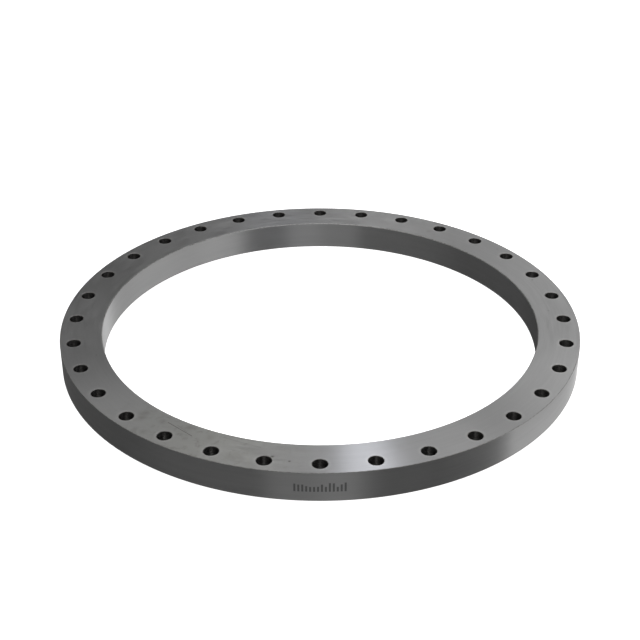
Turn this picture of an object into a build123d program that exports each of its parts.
from build123d import *
import os

# A flat ring flange for welding round a large pipe: one forged and machined steel ring.
# Frame: +Z runs up the pipe axis, and the origin is the centre of the lower gasket face.
# One bolt hole lies on -Y. All sizes are millimetres.

# The ring
OUTER_DIAMETER = 1455.0
BORE_DIAMETER = 1223.0
THICKNESS = 83.0

# The bolt holes, for M36 bolts
BOLT_CIRCLE_DIAMETER = 1380.0
BOLT_HOLE_DIAMETER = 39.0
BOLT_HOLE_COUNT = 32
FIRST_HOLE_ANGLE = -90.0

# The edges, each cut back at 45 degrees
RIM_EDGE_BREAK = 1.0
BORE_CHAMFER = 2.0
HOLE_EDGE_BREAK = 1.0


def turned_section():
    """Half of the section a lathe turns, seen in the XZ plane, with its four bevelled corners."""
    bore = BORE_DIAMETER / 2
    rim = OUTER_DIAMETER / 2
    corners = [
        (bore, BORE_CHAMFER),
        (bore + BORE_CHAMFER, 0),
        (rim - RIM_EDGE_BREAK, 0),
        (rim, RIM_EDGE_BREAK),
        (rim, THICKNESS - RIM_EDGE_BREAK),
        (rim - RIM_EDGE_BREAK, THICKNESS),
        (bore + BORE_CHAMFER, THICKNESS),
        (bore, THICKNESS - BORE_CHAMFER),
    ]
    return Plane.XZ * make_face(Polyline(*corners, close=True))


def drill():
    """What one drilled hole takes away: the hole, and the bevel at each of its two mouths."""
    hole = BOLT_HOLE_DIAMETER / 2
    mouth = hole + HOLE_EDGE_BREAK
    profile = [
        (0, 0),
        (mouth, 0),
        (hole, HOLE_EDGE_BREAK),
        (hole, THICKNESS - HOLE_EDGE_BREAK),
        (mouth, THICKNESS),
        (0, THICKNESS),
    ]
    half = Plane.XZ * make_face(Polyline(*profile, close=True))
    return revolve(half, axis=Axis.Z)


def bolt_circle():
    """The places of the bolt holes, evenly spaced from the one on -Y."""
    return PolarLocations(BOLT_CIRCLE_DIAMETER / 2, BOLT_HOLE_COUNT, start_angle=FIRST_HOLE_ANGLE)


def flange_ring():
    """The whole flange: turned from one forging, then drilled right through."""
    ring = revolve(turned_section(), axis=Axis.Z)
    return ring - [place * drill() for place in bolt_circle()]


NODES = {"flange_ring": flange_ring}

os.makedirs("parts", exist_ok=True)
for node, build in NODES.items():
    solid = build()
    export_step(solid, f"parts/{node}.step")
    print(f"{node}: {solid.volume / 1000:.0f} cm3")
